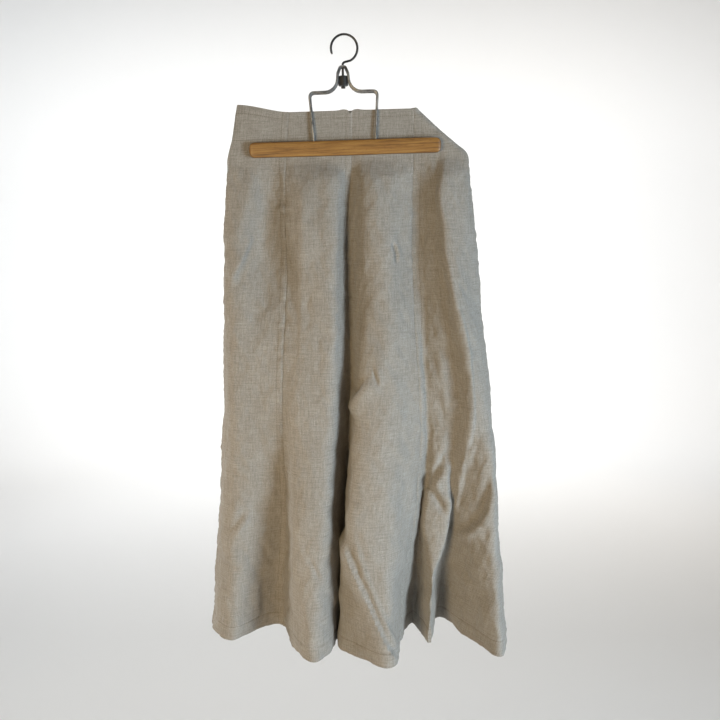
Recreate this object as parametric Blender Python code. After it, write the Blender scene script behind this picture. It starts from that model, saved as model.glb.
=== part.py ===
# Eight-gore linen maxi skirt held by a wooden clamp hanger.
# X is the wearer's width, +Y goes away from the shown side, +Z is up.
# The origin is the inner top of the hook, where it rests on a rail.
import bpy
import bmesh
import math
import numpy as np

# ---- driving sizes, metres -------------------------------------------------
CLOTH = 0.0016            # wall of the cloth
SEAM_GAP = 0.0003         # clear width between two gores
COLUMNS = 12              # grid columns of a gore
Z_WAIST = -0.113          # top edge of the skirt
Z_GRIP_TOP = -0.154       # cloth is flat between the jaws from here
Z_GRIP_LOW = -0.188       # to here
Z_HIP = -0.333
Z_KNEE = -0.586
Z_HEM = -1.000
GRIP_Y = 0.0017           # half distance between the two cloth layers
EDGE_Y = 0.0030           # the same at the top edge
TILT = math.radians(1.7)  # the hanger hangs a little off level
TILT_PIVOT = -0.130
CORNER_RISE = 0.014       # the waist line climbs to its two corners
CENTRE_X = 0.012          # middle seam at the waist
RISE_START = 0.095        # the climb starts this far from the middle seam
RISE_WIDTH = 0.092        # and takes this long
SIDE_COLUMNS = 4          # grid columns kept on their own side of a side seam

BAR_LENGTH = 0.306
BAR_HEIGHT = 0.0240
BAR_DEPTH = 0.0120
BAR_Z = -0.171
BAR_INNER_Y = 0.0028      # inner face of each jaw
BAR_CORNER = 0.0080       # radius of its ends, seen from the front
BAR_EASE = 0.0030         # rounding of its outer edges
INNER_EASE = 0.4          # the inner edges are rounded this share of it
FIT_GAP = 0.0003          # clear width round a wire in its hole

WIRE_R = 0.0020
WIRE_X = 0.0495           # the wire enters the bar this far from its middle
WIRE_Y = 0.0088
WIRE_FOOT = 0.0062        # end of the wire above the bar's middle
HOLE_FOOT = 0.0055        # bottom of its hole
HOLE_TOP = 0.0160
SHOULDER_X = 0.0540       # outer end of the level shoulder
SHOULDER_Y = 0.0080
SHOULDER_Z = -0.0848
NECK_X = 0.0105           # the level shoulder would meet the neck here
NECK_Y = 0.0074
THROAT_X = 0.0082         # half width of the neck above the barrel
THROAT_Y = 0.0064
THROAT_Z = -0.0570
TOP_X = 0.0040            # the wire turns back over the barrel
TOP_Y = 0.0044
TOP_Z = -0.0470
LEG_BEND = 0.030          # bend radii from the bar to the top
SHOULDER_BEND = 0.0070
NECK_BEND = 0.0200
THROAT_BEND = 0.0080
TOP_BEND = 0.0032

HOOK_WIRE_R = 0.0018
HOOK_RING_R = 0.0208
HOOK_HEAD_R = 0.0034      # head of the shank
HOOK_HEAD = 0.0028        # its height
HOOK_STEP = 0.0001        # the head steps down to the shank over this
HOOK_FOOT_Z = -0.0795
HOOK_NECK_Z = -0.0480
HOOK_BEND_Z = -0.0405     # the shank bends into the ring here
HOOK_BEND = 0.0045
HOOK_START = -62          # ring from this angle to the next, degrees
HOOK_END = 205
TIP_SHARE = 0.6           # the wire narrows to this share at its tip

CAP_R = 0.0078            # barrel round the shank
CAP_LOW = -0.0760
CAP_HIGH = -0.0605
CAP_EASE = 0.0015
CAP_ROUND = 0.0004

# the top right corner is folded back along a slanted line
FOLD_START = (0.1188, -0.1120)
FOLD_ALONG = (0.757, -0.654)
FOLD_SHIFT = -0.0068
FOLD_R = 0.0042
FOLD_R_GAIN = 0.0045       # the roll opens out towards the side seam
FOLD_OPENS = 0.078         # from this far along the line
FOLD_OPENING = 0.035       # over this length
FOLD_TURN = math.radians(102)

# ---- folds, millimetres ----------------------------------------------------
# one row per ridge, valley or flank, walking round the skirt from the left
# side seam over the shown side to the right side seam and back behind
# name, x waist, x grip, x hip, y hip, x knee, y knee, x hem, y hem
FOLDS = (
    ("left_side", -170, -189, -199, 0, -207, 2, -239, -4),
    ("flute_1", -134, -150, -182, -17, -184, -41, -198, -57),
    ("valley_1_left", -110, -120, -137, -3, -138, -44, -148, -12),
    ("valley_1", -88, -94, -98, -14, -103, -50, -113, -6),
    ("flute_2_left", -63, -67, -71, -29, -75, -64, -86, -78),
    ("flute_2", -38, -40, -42, -34, -45, -74, -56, -124),
    ("flute_2_right", -13, -14, -15, -30, -19, -66, -30, -102),
    ("valley_2", 12, 12, 5, -1, 5, -8, -5, -15),
    ("flute_3_left", 34, 35, 35, -28, 21, -70, -6, -78),
    ("flute_3", 73, 74, 70, -37, 68, -90, 70, -139),
    ("flute_3_right", 110, 112, 113, -9, 127, -47, 98, -58),
    ("valley_3", 122, 125, 127, -9, 140, -38, 119, 5),
    ("flute_4_left", 133, 138, 137, -14, 151, -41, 139, -56),
    ("flute_4_right", 141, 147, 147, -21, 165, -45, 149, -55),
    ("valley_4", 151, 158, 157, -28, 180, -49, 168, 22),
    ("flute_5_left", 163, 171, 168, -35, 208, -72, 209, -37),
    ("flute_5", 176, 187, 192, -25, 234, -52, 251, -110),
    ("right_side", 188, 199, 215, -4, 243, -12, 278, -50),
    ("turn", 177, 187, 205, 14, 232, 24, 266, 22),
    ("back_1", 147, 155, 165, 26, 190, 50, 226, 92),
    ("back_valley_1", 110, 112, 118, 18, 140, 36, 176, 58),
    ("back_2", 69, 70, 75, 32, 88, 78, 106, 148),
    ("back_valley_2", 28, 29, 30, 16, 36, 34, 46, 60),
    ("back_3", -12, -13, -15, 30, -18, 74, -18, 140),
    ("back_valley_3", -51, -54, -55, 17, -62, 34, -72, 56),
    ("back_4", -88, -94, -98, 30, -115, 74, -132, 144),
    ("back_valley_4", -117, -125, -140, 20, -160, 36, -186, 56),
    ("back_5", -145, -155, -175, 20, -197, 42, -228, 74),
)
LEFT_ROW = 0               # the row on the left side seam
RIGHT_ROW = 17             # the row on the right side seam
LAST_ROW = len(FOLDS)      # once round, back to the left side seam

# where each gore starts and ends, counted in rows of the table above
GORES = (
    ("side_front_left", LEFT_ROW, 3.0),
    ("front_left", 3.0, 7.0),
    ("front_right", 7.0, 10.0),
    ("side_front_right", 10.0, RIGHT_ROW),
    ("side_back_right", RIGHT_ROW, 20.0),
    ("back_right", 20.0, 22.4),
    ("back_left", 22.4, 25.0),
    ("side_back_left", 25.0, LAST_ROW),
)

RING_Z = (-0.113, -0.133, Z_GRIP_TOP, -0.171, Z_GRIP_LOW, -0.212, -0.245, -0.286,
          -0.333, -0.390, -0.450, -0.515, -0.586, -0.655, -0.725, -0.795, -0.865,
          -0.935, Z_HEM)
FINE_RING_Z = (-0.113, -0.121, -0.129, -0.137, -0.145, Z_GRIP_TOP, -0.162, -0.171,
               -0.180, Z_GRIP_LOW, -0.197, -0.206, -0.216, -0.245, -0.286, -0.333, -0.390,
               -0.450, -0.515, -0.586, -0.655, -0.725, -0.795, -0.865, -0.935, Z_HEM)


def smooth(x):
    x = np.clip(x, 0.0, 1.0)
    return x * x * (3.0 - 2.0 * x)


def level_tables():
    # the six levels of every row: heights, x and y in metres
    rows = np.array([row[1:] for row in FOLDS], float) / 1000.0
    side = np.sign(rows[:, 3])
    side[LEFT_ROW] = 0.0
    side[RIGHT_ROW] = 0.0
    heights = np.array([Z_WAIST, Z_GRIP_TOP, Z_GRIP_LOW, Z_HIP, Z_KNEE, Z_HEM])
    share = (Z_GRIP_TOP - Z_WAIST) / (Z_GRIP_LOW - Z_WAIST)
    x_top = rows[:, 0] + (rows[:, 1] - rows[:, 0]) * share
    xs = np.stack([rows[:, 0], x_top, rows[:, 1], rows[:, 2], rows[:, 4], rows[:, 6]])
    ys = np.stack([side * EDGE_Y, side * GRIP_Y, side * GRIP_Y,
                   rows[:, 3], rows[:, 5], rows[:, 7]])
    return heights, xs, ys


def through(z, heights, values):
    # cubic through the levels whose slopes never overshoot a level
    step = np.diff(heights)[:, None]
    slope = np.diff(values, axis=0) / step
    tangent = np.zeros_like(values)
    product = slope[:-1] * slope[1:]
    safe = np.where(product > 0, slope[:-1] + slope[1:], 1.0)
    tangent[1:-1] = np.where(product > 0, 2.0 * product / safe, 0.0)
    tangent[-1] = slope[-1]
    tangent[0] = slope[0]
    i = int(np.clip(np.searchsorted(-heights, -z) - 1, 0, len(heights) - 2))
    span = heights[i + 1] - heights[i]
    u = (z - heights[i]) / span
    a = (1 + 2 * u) * (1 - u) ** 2
    b = u * (1 - u) ** 2
    c = u * u * (3 - 2 * u)
    d = u * u * (u - 1)
    return (a * values[i] + b * span * tangent[i]
            + c * values[i + 1] + d * span * tangent[i + 1])


def around(control, t):
    # closed curve through the rows, rounded at every row
    n = len(control)
    i = np.floor(t).astype(int)
    f = t - i
    p0 = control[(i - 1) % n]
    p1 = control[i % n]
    p2 = control[(i + 1) % n]
    p3 = control[(i + 2) % n]
    return 0.5 * (2 * p1 + (p2 - p0) * f + (2 * p0 - 5 * p1 + 4 * p2 - p3) * f ** 2
                  + (3 * p1 - p0 - 3 * p2 + p3) * f ** 3)


def gore_ring(z, first, last, tables):
    # evenly spaced centre points and outward directions of one gore at one height
    heights, xs, ys = tables
    cx = through(z, heights, xs)
    cy = through(z, heights, ys)
    t = np.linspace(first, last, 400)
    x = around(cx, t)
    y = around(cy, t)
    length = np.concatenate([[0.0], np.cumsum(np.hypot(np.diff(x), np.diff(y)))])
    want = np.linspace(SEAM_GAP / 2, length[-1] - SEAM_GAP / 2, COLUMNS + 1)
    px = np.interp(want, length, x)
    py = np.interp(want, length, y)
    tx = np.gradient(x, length)
    ty = np.gradient(y, length)
    nx = np.interp(want, length, ty)
    ny = np.interp(want, length, -tx)
    size = np.hypot(nx, ny)
    return px, py, nx / size, ny / size


def fold_corner(p):
    # points beyond the slanted line roll round an axis behind the cloth
    ax = FOLD_ALONG[0]
    az = FOLD_ALONG[1]
    nx = -az
    nz = ax
    dx = p[..., 0] - FOLD_START[0]
    dz = p[..., 2] - FOLD_START[1]
    along = dx * ax + dz * az
    s = dx * nx + dz * nz - FOLD_SHIFT
    bend = FOLD_R + FOLD_R_GAIN * smooth((along - FOLD_OPENS) / FOLD_OPENING)
    turn = np.clip(s / bend, 0.0, FOLD_TURN)
    rest = np.maximum(s - bend * FOLD_TURN, 0.0)
    radius = bend - p[..., 1]
    s2 = np.where(s > 0, radius * np.sin(turn) + rest * np.cos(turn), s) + FOLD_SHIFT
    y2 = np.where(s > 0, bend - radius * np.cos(turn) + rest * np.sin(turn), p[..., 1])
    out = p.copy()
    out[..., 0] = FOLD_START[0] + along * ax + s2 * nx
    out[..., 1] = y2
    out[..., 2] = FOLD_START[1] + along * az + s2 * nz
    return out


def keep_side(y, first, last, seam_y):
    # next to a side seam the shown gore stays before it and the hidden one behind
    near = np.zeros(y.shape, bool)
    shown = first < RIGHT_ROW
    if first in (LEFT_ROW, RIGHT_ROW):
        near[:SIDE_COLUMNS] = True
    else:
        near[-SIDE_COLUMNS:] = True
    limit = seam_y - SEAM_GAP / 2 if shown else seam_y + SEAM_GAP / 2
    kept = np.minimum(y, limit) if shown else np.maximum(y, limit)
    return np.where(near, kept, y)


def gore_grid(first, last, rings, tables, right):
    outer = np.zeros((len(rings), COLUMNS + 1, 3))
    inner = np.zeros_like(outer)
    by_side = first in (LEFT_ROW, RIGHT_ROW) or last in (RIGHT_ROW, LAST_ROW)
    for k, z in enumerate(rings):
        px, py, nx, ny = gore_ring(z, first, last, tables)
        seam_y = through(z, tables[0], tables[2])[RIGHT_ROW if right else LEFT_ROW]
        fade = 1.0 - smooth((Z_GRIP_LOW - z) / (Z_GRIP_LOW - Z_HEM))
        top = smooth((z - Z_GRIP_TOP) / (Z_WAIST - Z_GRIP_TOP))
        rise = CORNER_RISE * smooth((np.abs(px - CENTRE_X) - RISE_START) / RISE_WIDTH)
        height = z + math.tan(TILT) * px * fade + rise * top
        for grid, side in ((outer, 0.5), (inner, -0.5)):
            grid[k, :, 0] = px + nx * CLOTH * side
            y = py + ny * CLOTH * side
            grid[k, :, 1] = keep_side(y, first, last, seam_y) if by_side else y
            grid[k, :, 2] = height
    if right:
        outer = fold_corner(outer)
        inner = fold_corner(inner)
    return outer, inner


def material(name, colour, rough, metal):
    mat = bpy.data.materials.new(name)
    mat.use_nodes = True
    shader = mat.node_tree.nodes["Principled BSDF"]
    shader.inputs["Base Color"].default_value = (colour[0], colour[1], colour[2], 1.0)
    shader.inputs["Roughness"].default_value = rough
    shader.inputs["Metallic"].default_value = metal
    mat.diffuse_color = (colour[0], colour[1], colour[2], 1.0)
    return mat


def put(name, verts, faces, mat, round_shade):
    mesh = bpy.data.meshes.new(name)
    mesh.from_pydata([tuple(v) for v in verts], [], faces)
    bm = bmesh.new()
    bm.from_mesh(mesh)
    bmesh.ops.recalc_face_normals(bm, faces=bm.faces)
    bm.to_mesh(mesh)
    bm.free()
    mesh.shade_smooth() if round_shade else mesh.shade_flat()
    mesh.materials.append(mat)
    obj = bpy.data.objects.new(name, mesh)
    bpy.context.scene.collection.objects.link(obj)
    return obj


def grid_wall(name, outer, inner, mat):
    # closed wall between two grids of the same size
    rows, cols = outer.shape[:2]
    verts = np.concatenate([outer.reshape(-1, 3), inner.reshape(-1, 3)])
    half = rows * cols
    faces = []
    for r in range(rows - 1):
        for c in range(cols - 1):
            a = r * cols + c
            faces.append((a, a + 1, a + cols + 1, a + cols))
            faces.append((half + a, half + a + cols, half + a + cols + 1, half + a + 1))
    for c in range(cols - 1):
        low = (rows - 1) * cols + c
        faces.append((c, half + c, half + c + 1, c + 1))
        faces.append((low, low + 1, half + low + 1, half + low))
    for r in range(rows - 1):
        a = r * cols
        b = a + cols - 1
        faces.append((a, a + cols, half + a + cols, half + a))
        faces.append((b, half + b, half + b + cols, b + cols))
    return put(name, verts, faces, mat, True)


def hang(p):
    # turns a point of the level hanger to the angle it hangs at
    p = np.array(p, float)
    x = p[..., 0].copy()
    z = p[..., 2] - TILT_PIVOT
    p[..., 0] = x * math.cos(TILT) - z * math.sin(TILT)
    p[..., 2] = x * math.sin(TILT) + z * math.cos(TILT) + TILT_PIVOT
    return p


def rounded(points, radii, steps=6):
    # polyline whose inner corners become arcs
    points = [np.array(p, float) for p in points]
    path = [points[0]]
    for k in range(1, len(points) - 1):
        here = points[k]
        to_last = points[k - 1] - here
        to_next = points[k + 1] - here
        u = to_last / np.linalg.norm(to_last)
        v = to_next / np.linalg.norm(to_next)
        half = math.acos(np.clip(np.dot(u, v), -1, 1)) / 2
        cut = radii[k - 1] / math.tan(half)
        middle = here + (u + v) / np.linalg.norm(u + v) * radii[k - 1] / math.sin(half)
        first = here + u * cut - middle
        last = here + v * cut - middle
        turn = math.acos(np.clip(np.dot(first, last) / radii[k - 1] ** 2, -1, 1))
        for i in range(steps + 1):
            w = i / steps
            arm = (math.sin((1 - w) * turn) * first + math.sin(w * turn) * last)
            path.append(middle + arm / math.sin(turn))
    path.append(points[-1])
    return np.array(path)


def swept(name, path, radius, mat, sides=12):
    # round bar along a path, flat ended; radius may change along it
    n = len(path)
    radius = np.broadcast_to(np.asarray(radius, float), (n,))
    step = np.gradient(path, axis=0)
    step = step / np.linalg.norm(step, axis=1)[:, None]
    across = np.array([0.0, 1.0, 0.0])
    verts = []
    for k in range(n):
        across = across - step[k] * np.dot(across, step[k])
        across = across / np.linalg.norm(across)
        other = np.cross(step[k], across)
        for j in range(sides):
            a = 2 * math.pi * j / sides
            verts.append(path[k] + radius[k] * (math.cos(a) * across + math.sin(a) * other))
    faces = []
    for k in range(n - 1):
        for j in range(sides):
            m = (j + 1) % sides
            faces.append((k * sides + j, k * sides + m, (k + 1) * sides + m,
                          (k + 1) * sides + j))
    faces.append(tuple(range(sides)))
    faces.append(tuple(range((n - 1) * sides, n * sides)))
    return put(name, verts, faces, mat, True)


def rounded_outline(width, height, corner, steps=5):
    pts = []
    for sx, sz, start in ((1, 1, 0), (-1, 1, 90), (-1, -1, 180), (1, -1, 270)):
        for i in range(steps + 1):
            a = math.radians(start + 90 * i / steps)
            pts.append((sx * (width / 2 - corner) + corner * math.cos(a),
                        sz * (height / 2 - corner) + corner * math.sin(a)))
    return pts


def jaw(name, side, mat, cut_mat):
    # one wooden bar with eased edges and two blind holes for the wire ends
    layers = []
    for i in range(4):
        a = math.radians(90 * i / 3)
        layers.append((BAR_EASE * (1 - math.sin(a)), BAR_EASE * (1 - math.cos(a))))
    far = BAR_INNER_Y + BAR_DEPTH
    stack = [(BAR_INNER_Y + d * INNER_EASE, i * INNER_EASE) for d, i in reversed(layers)]
    stack = sorted(stack) + sorted([(far - d, i) for d, i in layers])
    verts = []
    for depth, inset in stack:
        outline = rounded_outline(BAR_LENGTH - 2 * inset, BAR_HEIGHT - 2 * inset, BAR_CORNER)
        verts += [(x, side * depth, z + BAR_Z) for x, z in outline]
    verts = hang(np.array(verts))
    n = len(verts) // len(stack)
    faces = []
    for k in range(len(stack) - 1):
        for j in range(n):
            m = (j + 1) % n
            faces.append((k * n + j, k * n + m, (k + 1) * n + m, (k + 1) * n + j))
    faces.append(tuple(range(n)))
    faces.append(tuple(range((len(stack) - 1) * n, len(stack) * n)))
    obj = put(name, verts, faces, mat, False)
    for k, x in enumerate((-WIRE_X, WIRE_X)):
        heights = np.linspace(BAR_Z + HOLE_FOOT, BAR_Z + HOLE_TOP, 3)
        path = hang([(x, side * WIRE_Y, z) for z in heights])
        cutter = swept(f"{name}_hole_{k}", path, WIRE_R + FIT_GAP, cut_mat, 16)
        cutter.hide_render = True
        cutter.display_type = "WIRE"
        mod = obj.modifiers.new(f"hole_{k}", "BOOLEAN")
        mod.operation = "DIFFERENCE"
        mod.solver = "EXACT"
        mod.object = cutter
    return obj


def frame_wire(name, side, mat):
    # one bent wire: up from the bar, in along the shoulder, up the neck and back
    half = [(WIRE_X, WIRE_Y, BAR_Z + WIRE_FOOT),
            (WIRE_X, WIRE_Y, BAR_Z + BAR_HEIGHT / 2 + BAR_CORNER),
            (SHOULDER_X, SHOULDER_Y, SHOULDER_Z),
            (NECK_X, NECK_Y, SHOULDER_Z),
            (THROAT_X, THROAT_Y, THROAT_Z),
            (TOP_X, TOP_Y, TOP_Z)]
    left = [(-x, side * y, z) for x, y, z in half]
    right = [(x, side * y, z) for x, y, z in reversed(half)]
    radii = [LEG_BEND, SHOULDER_BEND, NECK_BEND, THROAT_BEND, TOP_BEND]
    path = rounded(left + right, radii + radii[::-1])
    return swept(name, hang(path), WIRE_R, mat, 12)


def hook_wire(mat):
    # straight shank with a small head, then a round question-mark hook
    foot = hang((0.0, 0.0, HOOK_FOOT_Z))
    neck = hang((0.0, 0.0, HOOK_NECK_Z))
    middle = np.array([0.0, 0.0, HOOK_WIRE_R - HOOK_RING_R])
    arc = []
    for a in np.radians(np.linspace(HOOK_START, HOOK_END, 31)):
        arc.append(middle + HOOK_RING_R * np.array([math.cos(a), 0.0, math.sin(a)]))
    bend = rounded([neck, np.array([neck[0], 0.0, HOOK_BEND_Z]), arc[0]], [HOOK_BEND], 5)
    down = (neck - foot) / np.linalg.norm(neck - foot)
    low = [foot, foot + down * HOOK_HEAD, foot + down * (HOOK_HEAD + HOOK_STEP),
           (foot + neck) / 2]
    path = np.array(low + list(bend) + arc[1:])
    radius = np.full(len(path), HOOK_WIRE_R)
    radius[:2] = HOOK_HEAD_R
    radius[-1] = HOOK_WIRE_R * TIP_SHARE
    return swept("hook", path, radius, mat, 12)


def cap(mat):
    # turned barrel round the shank, eased at both rims
    bore = HOOK_WIRE_R + FIT_GAP
    profile = [(bore, CAP_LOW),
               (CAP_R - CAP_EASE, CAP_LOW),
               (CAP_R - CAP_ROUND, CAP_LOW + CAP_ROUND),
               (CAP_R, CAP_LOW + CAP_EASE),
               (CAP_R, CAP_HIGH - CAP_EASE),
               (CAP_R - CAP_ROUND, CAP_HIGH - CAP_ROUND),
               (CAP_R - CAP_EASE, CAP_HIGH),
               (bore, CAP_HIGH)]
    sides = 24
    verts = []
    for j in range(sides):
        a = 2 * math.pi * j / sides
        verts += [(r * math.cos(a), r * math.sin(a), z) for r, z in profile]
    verts = hang(np.array(verts))
    n = len(profile)
    faces = []
    for j in range(sides):
        m = (j + 1) % sides
        for k in range(n):
            e = (k + 1) % n
            faces.append((j * n + k, m * n + k, m * n + e, j * n + e))
    return put("neck_barrel", verts, faces, mat, True)


for old in list(bpy.data.objects):
    bpy.data.objects.remove(old, do_unlink=True)

tables = level_tables()
for name, first, last in GORES:
    right = name.endswith("right")
    rings = FINE_RING_Z if right else RING_Z
    outer, inner = gore_grid(first, last, rings, tables, right)
    grid_wall(name, outer, inner, material(f"linen_{name}", (0.52, 0.47, 0.38), 0.9, 0.0))

wood_front = material("wood_front", (0.55, 0.33, 0.13), 0.45, 0.0)
wood_back = material("wood_back", (0.55, 0.33, 0.13), 0.45, 0.0)
jaw("jaw_front", -1, wood_front, wood_front)
jaw("jaw_back", 1, wood_back, wood_back)
frame_wire("frame_front", -1, material("steel_front", (0.60, 0.60, 0.58), 0.35, 1.0))
frame_wire("frame_back", 1, material("steel_back", (0.60, 0.60, 0.58), 0.35, 1.0))
cap(material("black_barrel", (0.03, 0.03, 0.03), 0.5, 0.0))
hook_wire(material("hook_steel", (0.30, 0.30, 0.30), 0.4, 1.0))
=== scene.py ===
import bmesh
import bpy
import math
import numpy as np
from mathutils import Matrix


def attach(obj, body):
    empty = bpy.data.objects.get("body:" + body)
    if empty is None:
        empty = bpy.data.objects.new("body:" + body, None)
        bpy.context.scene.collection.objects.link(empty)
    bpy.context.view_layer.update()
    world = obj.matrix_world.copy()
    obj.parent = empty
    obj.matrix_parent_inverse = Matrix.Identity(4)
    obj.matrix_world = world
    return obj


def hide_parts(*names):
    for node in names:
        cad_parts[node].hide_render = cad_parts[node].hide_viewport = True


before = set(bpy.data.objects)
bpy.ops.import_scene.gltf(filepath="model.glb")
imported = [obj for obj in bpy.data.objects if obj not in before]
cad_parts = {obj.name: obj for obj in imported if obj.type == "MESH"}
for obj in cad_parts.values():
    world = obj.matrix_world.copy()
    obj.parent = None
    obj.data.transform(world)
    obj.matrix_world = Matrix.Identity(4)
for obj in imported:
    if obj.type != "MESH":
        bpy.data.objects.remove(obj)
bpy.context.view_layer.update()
mm = 0.001


# ---------- small helpers shared by every piece ----------

def smoothStep(x):
    # 3x^2 - 2x^3, held at 0 below x = 0 and at 1 above x = 1
    x = np.clip(x, 0.0, 1.0)
    return x * x * (3.0 - 2.0 * x)


def gridWall(outer, inner):
    # closed wall between two grids: outer skin, inner skin and the four edges
    rows, cols = outer.shape[:2]
    index = np.arange(rows * cols).reshape(rows, cols)
    back = index + rows * cols
    a, b = index[:-1, :-1], index[:-1, 1:]
    c, d = index[1:, 1:], index[1:, :-1]
    e, f = back[:-1, :-1], back[:-1, 1:]
    g, h = back[1:, 1:], back[1:, :-1]
    skins = [np.stack([a, d, c, b], -1).reshape(-1, 4),
             np.stack([e, f, g, h], -1).reshape(-1, 4)]
    top = np.stack([index[0, :-1], index[0, 1:], back[0, 1:], back[0, :-1]], -1)
    low = np.stack([index[-1, 1:], index[-1, :-1], back[-1, :-1], back[-1, 1:]], -1)
    left = np.stack([index[1:, 0], index[:-1, 0], back[:-1, 0], back[1:, 0]], -1)
    right = np.stack([index[:-1, -1], index[1:, -1], back[1:, -1], back[:-1, -1]], -1)
    verts = np.concatenate([outer.reshape(-1, 3), inner.reshape(-1, 3)])
    return verts, np.concatenate(skins + [top, low, left, right])


def makePiece(name, verts, quads, material, sharpAngle=50):
    # mesh from arrays of points and four-sided faces, smooth but for edges past the angle
    mesh = bpy.data.meshes.new(name)
    mesh.vertices.add(len(verts))
    mesh.vertices.foreach_set("co", np.asarray(verts, np.float32).ravel())
    mesh.loops.add(quads.size)
    mesh.loops.foreach_set("vertex_index", quads.ravel().astype(np.int32))
    mesh.polygons.add(len(quads))
    mesh.polygons.foreach_set("loop_start", np.arange(0, quads.size, 4, dtype=np.int32))
    mesh.update(calc_edges=True)
    mesh.validate()
    mesh.shade_smooth()
    mesh.set_sharp_from_angle(angle=math.radians(sharpAngle))
    mesh.materials.append(material)
    piece = bpy.data.objects.new(name, mesh)
    bpy.context.scene.collection.objects.link(piece)
    return piece


def giveUv(piece, uv):
    # uv holds one pair for each vertex, in metres of cloth
    mesh = piece.data
    corner = np.zeros(len(mesh.loops), np.int32)
    mesh.loops.foreach_get("vertex_index", corner)
    layer = mesh.uv_layers.new(name="clothUv")
    layer.data.foreach_set("uv", np.asarray(uv, np.float32)[corner].ravel())


def giveValue(piece, name, values):
    # one number for each point, which a material reads by its name
    layer = piece.data.attributes.new(name, "FLOAT", "POINT")
    layer.data.foreach_set("value", np.asarray(values, np.float32).ravel())


# ---------- materials ----------

class Nodes:
    # a short way to write a node tree
    def __init__(self, name):
        self.material = bpy.data.materials.new(name)
        self.material.use_nodes = True
        self.tree = self.material.node_tree
        self.shader = self.tree.nodes["Principled BSDF"]

    def add(self, kind, settings=None, **inputs):
        node = self.tree.nodes.new(kind)
        for key, value in (settings or {}).items():
            setattr(node, key, value)
        for key, value in inputs.items():
            # i0, i1 and so on name a socket by its place
            place = int(key[1:]) if key[0] == "i" and key[1:].isdigit() else key
            socket = node.inputs[place]
            if isinstance(value, bpy.types.NodeSocket):
                self.tree.links.new(value, socket)
            else:
                socket.default_value = value
        return node

    def maths(self, operation, a, b=0.0, clamp=False):
        settings = {"operation": operation, "use_clamp": clamp}
        return self.add("ShaderNodeMath", settings, i0=a, i1=b).outputs[0]

    def noise(self, vector, scale, stretch, detail=2.0, rough=0.5):
        # noise on a stretched copy of the given coordinates
        place = self.add("ShaderNodeMapping", None, Vector=vector, Scale=stretch)
        node = self.add("ShaderNodeTexNoise", None, Vector=place.outputs[0], Scale=scale,
                        Detail=detail, Roughness=rough)
        return node.outputs["Fac"]

    def ramp(self, fac, stops):
        # colours that run from stop to stop
        node = self.add("ShaderNodeValToRGB", None, Fac=fac)
        points = node.color_ramp.elements
        for place, colour in stops[1:-1]:
            points.new(place)
        for point, (place, colour) in zip(points, stops):
            point.position = place
            point.color = (*colour, 1.0)
        return node.outputs[0]

    def mix(self, fac, a, b, blend="MIX"):
        # a where fac is 0 and b, blended in, where it is 1
        node = self.add("ShaderNodeMix", {"data_type": "RGBA", "blend_type": blend})
        for socket, value in zip((node.inputs[0], node.inputs[6], node.inputs[7]), (fac, a, b)):
            if isinstance(value, bpy.types.NodeSocket):
                self.tree.links.new(value, socket)
            else:
                socket.default_value = value if isinstance(value, float) else (*value, 1.0)
        return node.outputs[2]

    def set(self, socket, value):
        # links or sets one input of the shader
        if isinstance(value, bpy.types.NodeSocket):
            self.tree.links.new(value, self.shader.inputs[socket])
        else:
            self.shader.inputs[socket].default_value = value

    def bump(self, height, strength, distance):
        # tilts the shading by the slope of the height
        node = self.add("ShaderNodeBump", None, Strength=strength, Distance=distance, Height=height)
        self.tree.links.new(node.outputs[0], self.shader.inputs["Normal"])


linenLook = {
    "flax": (0.330, 0.308, 0.274),      # middle tone of the yarns
    "pale": (0.455, 0.432, 0.393),
    "dark": (0.205, 0.186, 0.157),
    "yarn": 0.85 * mm,                  # distance between two yarns
    "thread": (0.190, 0.165, 0.130),    # topstitching
    "stitch": 3.2 * mm,
    "roughness": 0.88,
    "sheen": 0.12,
    # slubs of warp and weft, their longer ones, and short flecks between them:
    # stretch across, down and deep, detail, roughness, share
    "layers": (((760, 60, 1), 3.0, 0.6, 0.25), ((46, 720, 1), 3.0, 0.6, 0.25),
               ((380, 9, 1), 2.0, 0.6, 0.11), ((12, 420, 1), 2.0, 0.6, 0.09),
               ((430, 400, 1), 4.0, 0.75, 0.30)),
}


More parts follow.
